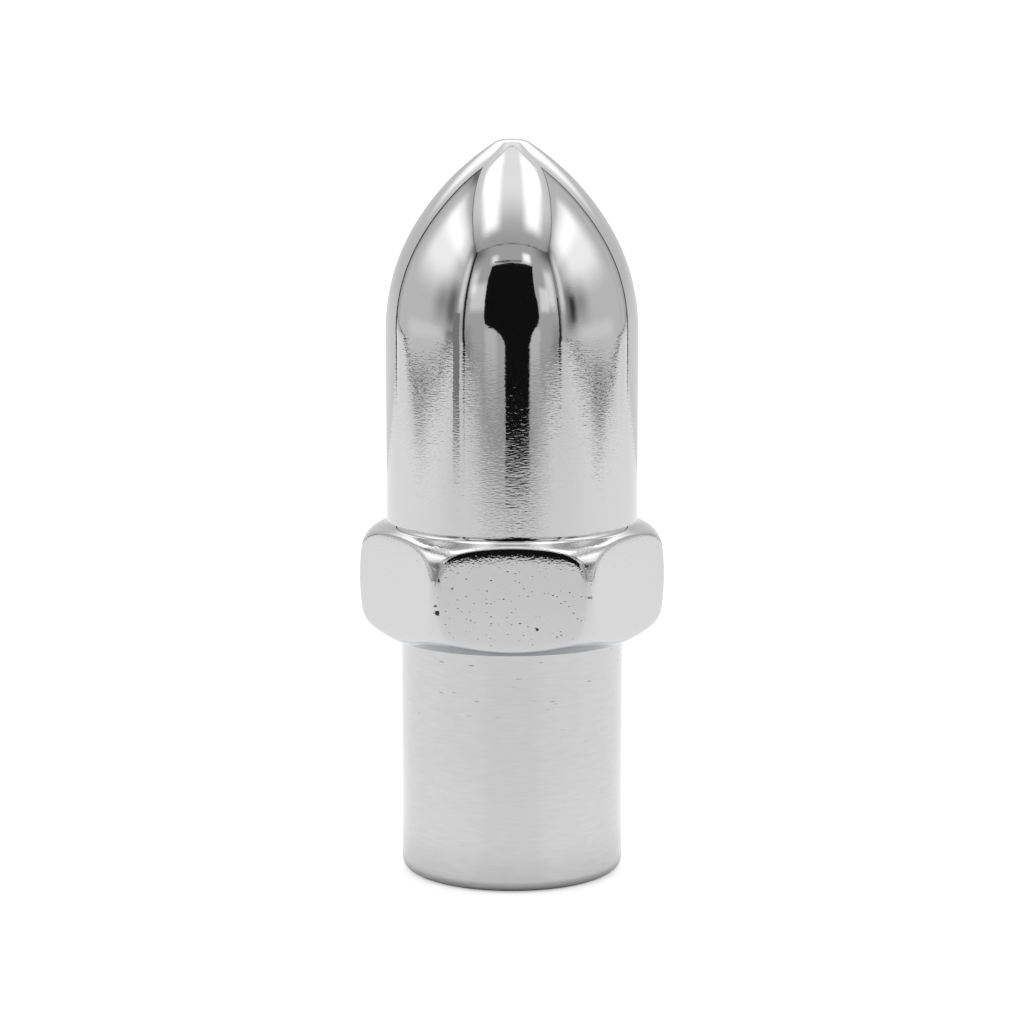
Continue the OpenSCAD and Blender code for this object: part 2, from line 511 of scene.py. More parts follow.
# %% Check the mesh: closed, pointing outwards, and close to the solid
def enclosed_volume(piece):
    """Volume inside a closed mesh, positive when its faces point outwards."""
    piece.data.calc_loop_triangles()
    points = get_points(piece)
    corners = np.array([triangle.vertices for triangle in piece.data.loop_triangles])
    a, b, c = (points[corners[:, i]] for i in range(3))
    return float(np.einsum("ij,ij->i", a, np.cross(b, c)).sum() / 6)


edge_of_loop = [loop.edge_index for loop in nut.data.loops]
edge_faces = np.bincount(edge_of_loop, minlength=len(nut.data.edges))
print(f"open edges {int((edge_faces != 2).sum())}, volume {enclosed_volume(nut) / MM**3:.0f} mm3")
print(f"solid's volume {enclosed_volume(frame['nodes'][NODE]) / MM**3:.0f} mm3")

# %% [markdown]
# ## Finishes
#
# Colours are written as the screen shows them and turned to linear light by one function. One
# more function adds a node with its settings, values and links, so a material reads as a list of
# what it is made of. A node that is given as an input stands for its first output. Patterns use
# Object coordinates scaled to millimetres.

# %% Colours and nodes
def linear(code):
    """Linear RGBA of a screen colour such as C9CCCC."""
    channels = [int(code[i : i + 2], 16) / 255 for i in (0, 2, 4)]
    levels = [c / 12.92 if c <= 0.04045 else ((c + 0.055) / 1.055) ** 2.4 for c in channels]
    return (*levels, 1)


def add_node(tree, kind, inputs=None, **settings):
    """Adds a node, sets it up, and gives its inputs values or links them to other outputs."""
    node = tree.nodes.new(kind)
    for name, value in settings.items():
        setattr(node, name, value)
    for socket, value in (inputs or {}).items():
        if isinstance(value, bpy.types.Node):
            value = value.outputs[0]
        if isinstance(value, bpy.types.NodeSocket):
            tree.links.new(value, node.inputs[socket])
        else:
            node.inputs[socket].default_value = value
    return node


def new_material(name, kind):
    """A material whose tree holds a shader of that kind, linked to its output."""
    material = bpy.data.materials.new(name)
    material.use_nodes = True
    tree = material.node_tree
    tree.nodes.clear()
    shader = add_node(tree, kind)
    add_node(tree, "ShaderNodeOutputMaterial", {"Surface": shader})
    return material, tree, shader


def grain(tree, along, across, **settings):
    """Noise with so many grains a millimetre round the axis, and along it."""
    place = add_node(tree, "ShaderNodeTexCoord").outputs["Object"]
    scale = (along / MM, along / MM, across / MM)
    mapping = add_node(tree, "ShaderNodeMapping", {"Vector": place, "Scale": scale})
    inputs = {"Vector": mapping, "Scale": 1.0, **settings}
    return add_node(tree, "ShaderNodeTexNoise", inputs).outputs["Fac"]


def set_stops(ramp, stops):
    """Gives a ramp its stops as (position, grey)."""
    points = ramp.color_ramp.elements
    while len(points) < len(stops):
        points.new(0.5)
    for point, (position, grey) in zip(points, stops):
        point.position = position
        point.color = (grey, grey, grey, 1)


def by_height(tree, stops):
    """A value that follows the height above the open end: stops are (height, value)."""
    place = add_node(tree, "ShaderNodeTexCoord").outputs["Object"]
    height = add_node(tree, "ShaderNodeSeparateXYZ", {0: place}).outputs["Z"]
    share = add_node(tree, "ShaderNodeMath", {0: height, 1: high.z}, operation="DIVIDE")
    ramp = add_node(tree, "ShaderNodeValToRGB", {0: share})
    set_stops(ramp, [(z / high.z, value) for z, value in stops])
    return ramp.outputs["Color"]


print("chrome's grey in linear light:", [round(c, 3) for c in linear("D0D0D0")])

# %% [markdown]
# ### Chrome plate over turned steel
#
# Decorative chrome is a thin bright layer that copies the steel under it. The dome was polished,
# so it mirrors cleanly. On the body the lathe's rings are still there: each ring leans a degree
# up or down, so that a reflection's edge breaks into short level dashes. The rings are noise
# that is stretched round the axis, about a tenth of a millimetre apart, and used as bump. They
# are drawn a little coarser than real turning marks, which are too fine to show. The shank is
# duller, with a faint level grain, a tool line under the seat and a few short scratches.

# %% Scratches and the tool line on the shank
CHROME = "D0D0D0"
TOOL_LINE_Z = seat_z - 0.65 * MM
TOOL_LINE_REACH = 0.07 * MM


def short_scratches(tree):
    """1 on sparse scratches, half a millimetre long, in a band under the seat."""
    place = add_node(tree, "ShaderNodeTexCoord").outputs["Object"]
    inputs = {"Vector": place, "Scale": (0.9 / MM, 0.9 / MM, 5.0 / MM)}
    inputs["Rotation"] = (0, math.radians(14), 0)
    mapping = add_node(tree, "ShaderNodeMapping", inputs)
    cells = add_node(tree, "ShaderNodeTexVoronoi", {"Vector": mapping, "Scale": 1.0})
    line = {0: cells.outputs["Distance"], 1: 0.26, 2: 0.12}
    line = add_node(tree, "ShaderNodeMapRange", line)
    chance = add_node(tree, "ShaderNodeSeparateColor", {0: cells.outputs["Color"]})
    rare = add_node(tree, "ShaderNodeMapRange", {0: chance, 1: 0.9, 2: 0.93})
    band = by_height(tree, [(0, 0), (12 * MM, 0.1), (16 * MM, 1), (18.2 * MM, 1), (18.4 * MM, 0)])
    mark = add_node(tree, "ShaderNodeMath", {0: line, 1: rare}, operation="MULTIPLY")
    return add_node(tree, "ShaderNodeMath", {0: mark, 1: band}, operation="MULTIPLY")


def tool_line(tree):
    """1 on a thin broken line round the shank, where the turning tool stopped."""
    near = [(0, 0), (TOOL_LINE_Z - TOOL_LINE_REACH, 0)]
    near += [(TOOL_LINE_Z, 1), (TOOL_LINE_Z + TOOL_LINE_REACH, 0)]
    broken = add_node(tree, "ShaderNodeMapRange", {0: grain(tree, 0.25, 0.25), 1: 0.47, 2: 0.6})
    line = {0: by_height(tree, near), 1: broken}
    return add_node(tree, "ShaderNodeMath", line, operation="MULTIPLY")


# %% Chrome on the dome, body and shank
RING_BUMP = 0.0039 * MM
RIPPLE = 1.2


def chrome_turned():
    """Bright chrome with the lathe's rings, which fade out on the polished dome."""
    material, tree, shader = new_material("chrome_plate_turned", "ShaderNodeBsdfPrincipled")
    shader.inputs["Metallic"].default_value = 1.0
    stops = [(0, 0.3), (seat_z, 0.35), (hex_top, 1), (0.5 * (hex_top + nose_z), 0.9)]
    stops += [(nose_z - 2 * MM, 0.75), (nose_z + 2 * MM, 0.25), (high.z, 0.1)]
    rings = {0: grain(tree, 2.6, 9.5, Detail=1.0, Roughness=0.4), 1: by_height(tree, stops)}
    rings = add_node(tree, "ShaderNodeMath", rings, operation="MULTIPLY")
    height = {0: grain(tree, 0.35, 0.5, Detail=1.0), 1: RIPPLE, 2: rings}
    height = add_node(tree, "ShaderNodeMath", height, operation="MULTIPLY_ADD")
    bump = add_node(tree, "ShaderNodeBump", {"Height": height, "Distance": RING_BUMP})
    tree.links.new(bump.outputs[0], shader.inputs["Normal"])
    finish = by_height(tree, [(0, 0.1), (seat_z, 0.1), (hex_top, 0.04), (high.z, 0.035)])
    tree.links.new(finish, shader.inputs["Roughness"])
    on_shank = by_height(tree, [(0, 1), (seat_z, 1), (hex_top, 0)])
    base_tone = {0: grain(tree, 0.7, 5.0, Detail=3.0), 1: on_shank}
    base_tone = add_node(tree, "ShaderNodeMath", base_tone, operation="MULTIPLY")
    base_tone = add_node(tree, "ShaderNodeMath", {0: base_tone, 1: tool_line(tree)}, operation="MAXIMUM")
    base_tone = {"Factor": base_tone, "A": linear(CHROME), "B": linear("C4C4C4")}
    base_tone = add_node(tree, "ShaderNodeMix", base_tone, data_type="RGBA").outputs["Result"]
    marks = {"Factor": short_scratches(tree), "A": base_tone, "B": linear("7E7E7C")}
    marks = add_node(tree, "ShaderNodeMix", marks, data_type="RGBA").outputs["Result"]
    tree.links.new(marks, shader.inputs["Base Color"])
    return material


# %% [markdown]
# ### Chrome plate over forged steel
#
# The collar was pressed in a die and only lightly polished. Small dents are left where scale was
# pressed in: each is a shallow cone in the bump, whose lower side leans up and mirrors the dark
# opening of the tent. Voronoi cells place them, and each cell's own random colour sets its size.
# Under the upper arcs, and on the cone above them, the metal also has a soft mottle that breaks
# up the edges of what it mirrors. A few larger dark specks near the corners are painted
# reflections of the dark opening, and the lower cone gets a bluish-grey painted shade.

# %% Where the collar's cones meet its flats
ARC_FADE = 1.9 * MM


def along_cone(tree, place, slope):
    """Height plus the radius times a slope, which is the same all over a cone of that slope."""
    level = add_node(tree, "ShaderNodeVectorMath", {0: place, 1: (1, 1, 0)}, operation="MULTIPLY")
    reach = add_node(tree, "ShaderNodeVectorMath", {0: level}, operation="LENGTH")
    height = add_node(tree, "ShaderNodeSeparateXYZ", {0: place}).outputs["Z"]
    along = {0: reach.outputs["Value"], 1: slope, 2: height}
    return add_node(tree, "ShaderNodeMath", along, operation="MULTIPLY_ADD")


def near_upper_arc(tree, place):
    """1 on the upper cone and where a flat runs out on it, falling to 0 lower on the flat."""
    along = along_cone(tree, place, math.tan(top_angle))
    edge = hex_top + body_rad * math.tan(top_angle)
    return add_node(tree, "ShaderNodeMapRange", {0: along, 1: edge - ARC_FADE, 2: edge})


def painted_shade_under_hex(tree, place):
    """1 on the lower cone, which gets a bluish-grey painted shade, and 0 on the flats."""
    along = along_cone(tree, place, -math.tan(low_angle))
    edge = seat_z - seat_rad * math.tan(low_angle)
    shade = {0: along, 1: edge + 0.13 * MM, 2: edge + 0.01 * MM}
    return add_node(tree, "ShaderNodeMapRange", shade)


# %% Small dents, and painted dark specks
DENTS_PER_MM = (3.2, 3.2, 3.6)
SPECK_EDGE = 0.06
SPECK_RAGGED = 0.5
# Place of each painted dark speck and its reach, in millimetres, before the ragged edge takes from
# it
dark_speck_places = [((-5.67, -10.43, 22.5), 0.42), ((5.85, -10.3, 23.65), 0.38), ((-4.55, -10.5, 24.35), 0.31)]
dark_speck_places += [((-5.53, -10.5, 24.95), 0.34), ((1.9, -10.5, 21.2), 0.34), ((-5.76, -10.4, 23.0), 0.31)]


def small_dents(tree, place, near):
    """Height of sparse conical dents, a tenth of a millimetre in radius, denser near the arc."""
    scale = tuple(count / MM for count in DENTS_PER_MM)
    mapping = add_node(tree, "ShaderNodeMapping", {"Vector": place, "Scale": scale})
    cells = add_node(tree, "ShaderNodeTexVoronoi", {"Vector": mapping, "Scale": 1.0})
    chance = add_node(tree, "ShaderNodeSeparateColor", {0: cells.outputs["Color"]})
    # Only cells with a high number get a dent, and more of them near the arc.
    chance = {0: near, 1: 0.25, 2: chance}
    chance = add_node(tree, "ShaderNodeMath", chance, operation="MULTIPLY_ADD")
    reach = {0: chance, 1: 0.55, 2: 1.12, 3: 0.04, 4: 0.44}
    reach = add_node(tree, "ShaderNodeMapRange", reach)
    below_arc = add_node(tree, "ShaderNodeMapRange", {0: near, 1: 0.5, 2: 0.72, 3: 1.0, 4: 0.1})
    reach = add_node(tree, "ShaderNodeMath", {0: reach, 1: below_arc}, operation="MULTIPLY")
    depth = {0: cells.outputs["Distance"], 1: reach}
    depth = add_node(tree, "ShaderNodeMath", depth, operation="SUBTRACT")
    return add_node(tree, "ShaderNodeMath", {0: depth, 1: 0.0}, operation="MINIMUM")


def painted_dark_specks(tree, place):
    """1 inside each painted dark speck, a painted reflection of the dark opening, whose ragged edge
    comes from noise.
    """
    ragged = {0: grain(tree, 6.0, 8.0), 1: SPECK_RAGGED * MM}
    ragged = add_node(tree, "ShaderNodeMath", ragged, operation="MULTIPLY")
    total = 0.0
    for centre, reach in dark_speck_places:
        off = {0: place, 1: Vector(centre) * MM}
        off = add_node(tree, "ShaderNodeVectorMath", off, operation="DISTANCE").outputs["Value"]
        off = add_node(tree, "ShaderNodeMath", {0: off, 1: ragged}, operation="ADD")
        speck = {0: off, 1: (reach + SPECK_EDGE) * MM, 2: reach * MM}
        speck = add_node(tree, "ShaderNodeMapRange", speck)
        total = add_node(tree, "ShaderNodeMath", {0: speck, 1: total}, operation="MAXIMUM")
    return total


# %% Chrome on the collar
DENT_BUMP = 0.038 * MM


def chrome_forged():
    """Bright chrome with small dents, a mottle under the arcs, painted dark specks and painted
    shade on the lower cone.
    """
    material, tree, shader = new_material("chrome_plate_forged", "ShaderNodeBsdfPrincipled")
    shader.inputs["Metallic"].default_value = 1.0
    shader.inputs["Roughness"].default_value = 0.05
    place = add_node(tree, "ShaderNodeTexCoord").outputs["Object"]
    near = near_upper_arc(tree, place)
    share = add_node(tree, "ShaderNodeMapRange", {0: near, 1: 0.0, 2: 0.45, 3: 0.035, 4: 0.2})
    mottle = {0: grain(tree, 4.6, 7.5, Detail=1.0), 1: share, 2: small_dents(tree, place, near)}
    height = add_node(tree, "ShaderNodeMath", mottle, operation="MULTIPLY_ADD")
    bump = add_node(tree, "ShaderNodeBump", {"Height": height, "Distance": DENT_BUMP})
    tree.links.new(bump.outputs[0], shader.inputs["Normal"])
    # Painted shade: the lower cone under the collar is mixed to a darker bluish grey.
    base_tone = {"Factor": painted_shade_under_hex(tree, place), "A": linear(CHROME), "B": linear("A4A8AE")}
    base_tone = add_node(tree, "ShaderNodeMix", base_tone, data_type="RGBA").outputs["Result"]
    # Painted reflection: near-black specks stand in for the dark opening mirrored in the plate.
    tint = {"Factor": painted_dark_specks(tree, place), "A": base_tone, "B": linear("262625")}
    tint = add_node(tree, "ShaderNodeMix", tint, data_type="RGBA").outputs["Result"]
    tree.links.new(tint, shader.inputs["Base Color"])
    return material


# %% [markdown]
# ### Bare steel in the threaded hole
#
# Plating hardly reaches into a deep narrow hole, so the thread is cut steel under a film of
# plate: grey, and duller than the outside.

# %% Steel in the hole
TAP_BUMP = 0.004 * MM


def steel_tapped():
    """Cut steel with fine tool marks."""
    material, tree, shader = new_material("steel_tapped", "ShaderNodeBsdfPrincipled")
    shader.inputs["Base Color"].default_value = linear("9C9A96")
    shader.inputs["Metallic"].default_value = 1.0
    marks = grain(tree, 0.8, 9.0, Detail=2.0)
    bump = add_node(tree, "ShaderNodeBump", {"Height": marks, "Distance": TAP_BUMP})
    tree.links.new(bump.outputs[0], shader.inputs["Normal"])
    shader.inputs["Roughness"].default_value = 0.32
    return material


# %% Give each face its finish
def finish_of(face):
    """0 for turned chrome, 1 for the forged collar, 2 for the hole."""
    reach = math.hypot(face.center.x, face.center.y)
    if reach < mouth_rad and face.center.z < bore_depth + point_h:
        in_hole = face.normal.z < 0.9 and face.center.z > 0.01 * MM
        return 2 if in_hole else 0
    on_collar = seat_z < face.center.z < neck_foot.y and reach > body_rad
    return 1 if on_collar else 0


for make in (chrome_turned, chrome_forged, steel_tapped):
    nut.data.materials.append(make())
for face in nut.data.polygons:
    face.material_index = finish_of(face)
counts = np.bincount([face.material_index for face in nut.data.polygons])
print("faces with each finish:", counts.tolist())

# %% Hand the nut to the frame
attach(nut, "root")
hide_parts(NODE)

# %% [markdown]
# ## The light tent
#
# A chrome part is best shown in a tent of white cloth that glows softly, so that it has
# something pale to mirror. The tent's sewn edges, its two lamp strips and the dark opening for
# the camera are what the eye reads as polish. Each panel is a flat card that gives off its own
# light: a level, and patches that are lighter or darker, for lamps close behind the cloth and
# for its folds. The camera doesn't see the cards, and the floor runs on past them. The nut
# stands at (0, 0, 0), and all places are in metres.

# %% Size of the tent, and how a panel glows
TENT_X = 0.235
TENT_FRONT = -0.243
TENT_BACK = 0.19
ROOF_BACK = 0.115
ROOF_Z = 0.4
ROOF_SLOPE = 0.225
SIDE_LEVEL = 0.72
FRONT_LEVEL = 0.52
BACK_LEVEL = 0.7
ROOF_LEVEL = 0.78


def roof_z(y):
    """Height of the roof above a place on the floor: it falls towards the front."""
    return ROOF_Z + ROOF_SLOPE * y


def hide_from_camera(piece):
    """Let a card light and be mirrored, but not stand in the camera's way."""
    piece.visible_camera = False
    piece.visible_shadow = False


def glowing_card(name, level, patches=()):
    """A card that gives off light: a level, and patches as (centre, reach, soft edge, gain)."""
    material, tree, shader = new_material(name, "ShaderNodeEmission")
    material.cycles.emission_sampling = "NONE"
    shader.inputs["Strength"].default_value = level
    place = add_node(tree, "ShaderNodeTexCoord").outputs["Object"]
    axes = add_node(tree, "ShaderNodeSeparateXYZ", {0: place})
    total = level
    for centre, reach, soft, gain in patches:
        patch = gain
        for axis in range(3):
            if reach[axis]:
                inputs = {0: axes.outputs[axis], 1: centre[axis]}
                off = add_node(tree, "ShaderNodeMath", inputs, operation="SUBTRACT")
                off = add_node(tree, "ShaderNodeMath", {0: off}, operation="ABSOLUTE")
                inputs = {0: off, 1: reach[axis], 2: reach[axis] - soft[axis]}
                fade = add_node(tree, "ShaderNodeMapRange", inputs, interpolation_type="SMOOTHSTEP")
                inputs = {0: fade, 1: patch}
                patch = add_node(tree, "ShaderNodeMath", inputs, operation="MULTIPLY")
        total = add_node(tree, "ShaderNodeMath", {0: patch, 1: total}, operation="ADD").outputs[0]
    if patches:
        tree.links.new(total, shader.inputs["Strength"])
    return material


def card(name, corners, material):
    """A flat card through its corners, each given as (x, y, z)."""
    piece = draw_line(name, corners)
    bpy.ops.mesh.edge_face_add()
    bpy.ops.object.mode_set(mode="OBJECT")
    piece.data.materials.append(material)
    hide_from_camera(piece)


def upright(x0, y0, x1, y1):
    """Corners of an upright wall between two places on the floor, up to the roof."""
    return [(x0, y0, 0), (x1, y1, 0), (x1, y1, roof_z(y1)), (x0, y0, roof_z(y0))]


# %% Side walls: a lamp behind the cloth, dull folds near the front and a pale sweep at the foot
LAMP_FORWARD = 0.017


def side_patches(shift):
    """The patches of a side wall, whose lamp is shifted forward and its folds half as far."""
    lamp = -0.02 - shift
    fold = -0.1 - shift / 2
    return [
        ((0, lamp, 0.225), (0, 0.15, 0.135), (0, 0.1, 0.09), 0.6),
        ((0, lamp - 0.03, 0.29), (0, 0.15, 0.08), (0, 0.05, 0.05), 0.3),
        ((0, lamp, 0.032), (0, 0.11, 0.024), (0, 0.05, 0.02), 0.14),
        ((0, fold - 0.06, 0.1), (0, 0.055, 0.1), (0, 0.055, 0.08), -0.5),
        ((0, fold, 0.112), (0, 0.07, 0.095), (0, 0.07, 0.09), -0.36),
        ((0, TENT_FRONT, 0.2), (0, 0.09, 0.5), (0, 0.09, 0.1), -0.2),
        ((0, TENT_FRONT, 0.38), (0, 0.15, 0.16), (0, 0.15, 0.16), -0.45),
        ((0, -0.213, 0.2), (0, 0.024, 0.13), (0, 0.018, 0.06), 0.36),
        ((0, TENT_BACK, 0.15), (0, 0.06, 0.3), (0, 0.06, 0.1), -0.25),
        ((0, -0.1, 0), (0, 0.18, 0.009), (0, 0.05, 0.002), 0.23),
        ((0, 0.16, 0), (0, 0.13, 0.018), (0, 0.06, 0.008), 0.25),
        ((0, TENT_BACK, 0), (0, 0.05, 0.035), (0, 0.035, 0.015), 0.3),
    ]


left_patches = side_patches(0.0) + [
    ((0, -0.158, 0.024), (0, 0.045, 0.02), (0, 0.03, 0.014), -0.28),
    ((0, 0.005, 0), (0, 0.06, 0.014), (0, 0.055, 0.008), -0.26),
    ((0, 0.14, 0.41), (0, 0.075, 0.12), (0, 0.07, 0.12), -0.35),
    ((0, 0, 0.42), (0, 0.6, 0.07), (0, 0.1, 0.05), -0.15),
]
right_patches = side_patches(LAMP_FORWARD) + [
    ((0, -0.148, 0.09), (0, 0.03, 0.045), (0, 0.028, 0.02), -0.18),
    ((0, -0.025, 0), (0, 0.055, 0.014), (0, 0.05, 0.008), -0.36),
    ((0, 0.12, 0.15), (0, 0.03, 0.2), (0, 0.03, 0.1), -0.05),
]
for x, name, patches in ((-TENT_X, "left", left_patches), (TENT_X, "right", right_patches)):
    cloth = glowing_card(f"tent_cloth_{name}", SIDE_LEVEL, patches)
    card(f"tent_{name}", upright(x, TENT_FRONT, x, TENT_BACK), cloth)

# %% Front wall, around the camera
front_patches = [
    ((-0.155, 0, 0.14), (0.055, 0, 0.055), (0.025, 0, 0.03), 0.36),
    ((-0.19, 0, 0.195), (0.038, 0, 0.065), (0.034, 0, 0.05), 0.44),
    ((0.185, 0, 0.17), (0.042, 0, 0.085), (0.034, 0, 0.045), 0.48),
    ((0.14, 0, 0.13), (0.03, 0, 0.045), (0.018, 0, 0.02), 0.42),
    ((-0.23, 0, 0.34), (0.13, 0, 0.1), (0.12, 0, 0.08), -0.32),
    ((0.23, 0, 0.34), (0.13, 0, 0.1), (0.12, 0, 0.08), -0.36),
    ((-0.088, 0, 0.267), (0.03, 0, 0.03), (0.026, 0, 0.026), 0.6),
    ((0.075, 0, 0.27), (0.032, 0, 0.034), (0.026, 0, 0.028), 1.0),
    ((-0.083, 0, 0.03), (0.035, 0, 0.035), (0.02, 0, 0.02), 0.16),
    ((0.092, 0, 0.03), (0.03, 0, 0.035), (0.018, 0, 0.02), 0.16),
    ((-0.21, 0, 0.02), (0.05, 0, 0.06), (0.04, 0, 0.05), -0.13),
    ((0.21, 0, 0.02), (0.05, 0, 0.06), (0.04, 0, 0.05), -0.13),
    ((0, 0, 0), (0.23, 0, 0.009), (0.03, 0, 0.006), -0.13),
]
front_cloth = glowing_card("tent_cloth_front", FRONT_LEVEL, front_patches)
card("tent_front", upright(-TENT_X, TENT_FRONT, TENT_X, TENT_FRONT), front_cloth)

# %% Back wall, a little paler at its foot and its head
back_patches = [
    ((0, 0, 0.27), (0.2, 0, 0.15), (0.06, 0, 0.07), 0.7),
    ((0, 0, 0.36), (0.5, 0, 0.2), (0.1, 0, 0.09), 0.2),
    ((0, 0, 0), (0.5, 0, 0.07), (0.1, 0, 0.05), 0.12),
]
back_cloth = glowing_card("tent_cloth_back", BACK_LEVEL, back_patches)
card("tent_back", upright(-TENT_X, TENT_BACK, TENT_X, TENT_BACK), back_cloth)

# %% Roof, with a lamp strip behind the cloth on each side
LAMP_X = 0.12
roof_patches = [
    ((0, TENT_FRONT, 0), (0.5, 0.2, 0), (0.1, 0.2, 0), -0.46),
    ((0, 0, 0), (0.26, 0.5, 0), (0.08, 0.1, 0), 0.17),
    ((0, 0.02, 0), (0.15, 0.2, 0), (0.1, 0.12, 0), 0.2),
    ((-LAMP_X, -0.04, 0), (0.075, 0.165, 0), (0.06, 0.05, 0), 0.9),
    ((LAMP_X, -0.04, 0), (0.075, 0.165, 0), (0.06, 0.05, 0), 0.9),
    ((-LAMP_X - 0.035, 0.03, 0), (0.04, 0.1, 0), (0.03, 0.09, 0), 0.45),
    ((LAMP_X + 0.035, 0.03, 0), (0.04, 0.1, 0), (0.03, 0.09, 0), 0.45),
    ((0, TENT_BACK, 0), (0.13, 0.07, 0), (0.06, 0.05, 0), 0.25),
]
roof_cloth = glowing_card("tent_cloth_roof", ROOF_LEVEL, roof_patches)
roof = [(-TENT_X, TENT_FRONT), (TENT_X, TENT_FRONT), (TENT_X, TENT_BACK), (-TENT_X, TENT_BACK)]
card("tent_roof", [(x, y, roof_z(y)) for x, y in roof], roof_cloth)

# %% [markdown]
# ### Seams
#
# The tent's sewn edges are dark strips just inside it, in its upright corners and round the
# roof, and they mirror as fine dark lines. The one near the foot of each side wall bends up at
# both ends.

# %% Upright seams, and seams under the roof's edges
INSIDE = 0.003
SIDE_SEAM = 0.007
ROOF_SEAM = 0.007
seam_dark = glowing_card("tent_seam", 0.02)
seam_soft = glowing_card("tent_seam_soft", 0.16)


def upright_strip(name, x, y, foot, head, material, z0=0.0, z1=None):
    """A strip from z0 up to z1 or the roof, that faces the nut: its widths below and above."""
    across = Vector((-y, x)).normalized()
    top = roof_z(y) if z1 is None else z1
    corners = []
    for side, width, z in ((-1, foot, z0), (1, foot, z0), (1, head, top), (-1, head, top)):
        corners.append((x + side * width / 2 * across.x, y + side * width / 2 * across.y, z))
    card(name, corners, material)


def hung_strip(name, start, end, drop, material):
    """A strip whose upper edge runs from one place to another, and that hangs down by a drop."""
    below = Vector((0, 0, -drop))
    card(name, [start, end, tuple(Vector(end) + below), tuple(Vector(start) + below)], material)


inside_x = TENT_X - INSIDE
front_y = TENT_FRONT + INSIDE
upright_strip("seam_front_left", -0.226, front_y, 0.013, 0.011, seam_dark)
upright_strip("seam_front_right", 0.224, front_y, 0.004, 0.003, seam_dark)
upright_strip("seam_hem_right", 0.224, front_y, 0.014, 0.008, seam_dark, z1=0.145)
back_seams = {"left": (0.014, 0.012), "right": (0.01, 0.006)}
for side, name in ((-1, "left"), (1, "right")):
    x = side * inside_x
    foot, head = back_seams[name]
    upright_strip(f"seam_side_{name}", x, TENT_FRONT + SIDE_SEAM, 0.003, 0.002, seam_dark)
    upright_strip(f"seam_back_{name}", x, TENT_BACK - 0.005, foot, head, seam_dark)
    start = (x, TENT_FRONT, roof_z(TENT_FRONT) - INSIDE)
    end = (x, TENT_BACK, roof_z(TENT_BACK) - INSIDE)
    hung_strip(f"seam_roof_{name}", start, end, ROOF_SEAM, seam_soft)

# %% Seams near the foot of the side walls, and across the roof
FOOT_SEAM = 0.0022
ROOF_BACK_X = 0.17
# Places (y, z) along the seam's upper edge
foot_line = [(-0.2, 0.016), (-0.16, 0.0125), (-0.1, 0.0095), (0.03, 0.009), (0.07, 0.0125)]
foot_line += [(0.11, 0.0175), (0.15, 0.026), (0.18, 0.04)]
for side, name in ((-1, "left"), (1, "right")):
    x = side * inside_x
    for i, ((y0, z0), (y1, z1)) in enumerate(zip(foot_line, foot_line[1:])):
        hung_strip(f"seam_foot_{name}_{i}", (x, y0, z0), (x, y1, z1), FOOT_SEAM, seam_dark)
top = roof_z(TENT_FRONT) - INSIDE
ends = [(side * TENT_X, front_y, top) for side in (-1, 1)]
hung_strip("seam_roof_front", *ends, 0.005, seam_soft)
top = roof_z(ROOF_BACK) - INSIDE
ends = [(side * ROOF_BACK_X, ROOF_BACK, top) for side in (-1, 1)]
hung_strip("seam_roof_back", *ends, 0.006, seam_soft)

# %% [markdown]
# ### The opening and what stands near it
#
# The front wall is open to a dark room for the camera, which mirrors as the dark shape low on
# the nose. The stand's foot is on the floor there, on a grey card of painted shade, and a grey
# pole stands by the wall on the left.

# %% The dark opening for the camera, with a hem above it
HEM_Z = 0.252
# Places (x, z) round its edge, in millimetres
opening = [(-97, 237), (-20, 243), (60, 242), (101, 236), (97, 215), (96, 185), (98, 145)]
opening += [(106, 120), (110, 80), (104, 62), (89, 50), (76, 34), (68, 12), (63, 0), (-23, 0)]
opening += [(-29, 20), (-42, 36), (-66, 49), (-88, 53), (-107, 62), (-114, 80), (-113, 140)]
opening += [(-110, 195)]
corners = [(x * MM, TENT_FRONT + MM, z * MM) for x, z in opening]
card("camera_opening", corners, glowing_card("dark_room", 0.008))
hung_strip("opening_hem", (-0.085, front_y, HEM_Z), (0.045, front_y, HEM_Z), 0.004, seam_dark)

# %% On the floor: a grey card of painted shade, a seam on the left and the foot of the camera's stand
FLOOR_CARD_Z = 0.0003
STAND_Z = 0.0005


def floor_corners(x0, x1, y1, z):
    """Corners of a level card that runs back from the front wall to y1."""
    return [(x0, TENT_FRONT, z), (x1, TENT_FRONT, z), (x1, y1, z), (x0, y1, z)]


# Painted shade: a dimmer grey card on the floor before the camera, darker towards the front wall.
floor_shade_patches = [((-0.01, TENT_FRONT, 0), (0.13, 0.06, 0), (0.05, 0.035, 0), -0.34)]
painted_floor_shade = glowing_card("painted_floor_shade", 0.76, floor_shade_patches)
card("floor_cloth", floor_corners(-0.15, 0.13, -0.178, FLOOR_CARD_Z), painted_floor_shade)
corners = [(-0.2245, TENT_FRONT, FLOOR_CARD_Z), (-0.2275, TENT_FRONT, FLOOR_CARD_Z)]
corners += [(-0.16, -0.17, FLOOR_CARD_Z), (-0.1585, -0.17, FLOOR_CARD_Z)]
card("seam_floor_left", corners, seam_dark)
dark_stand = glowing_card("dark_stand", 0.01)
card("stand_foot", floor_corners(-0.023, 0.062, TENT_FRONT + 0.03, STAND_Z), dark_stand)

# %% A grey pole that holds the cloth on the left
POLE_OUT = 0.215
POLE_WIDTH = 0.024
POLE_TURN = math.radians(-50.5)
x = POLE_OUT * math.sin(POLE_TURN)
y = -POLE_OUT * math.cos(POLE_TURN)
grey_pole = glowing_card("pole", 0.26)
upright_strip("pole", x, y, POLE_WIDTH, POLE_WIDTH, grey_pole, z0=0.005, z1=0.075)
cards = [piece for piece in bpy.data.objects if not piece.visible_camera]
print("the tent has", len(cards), "cards")

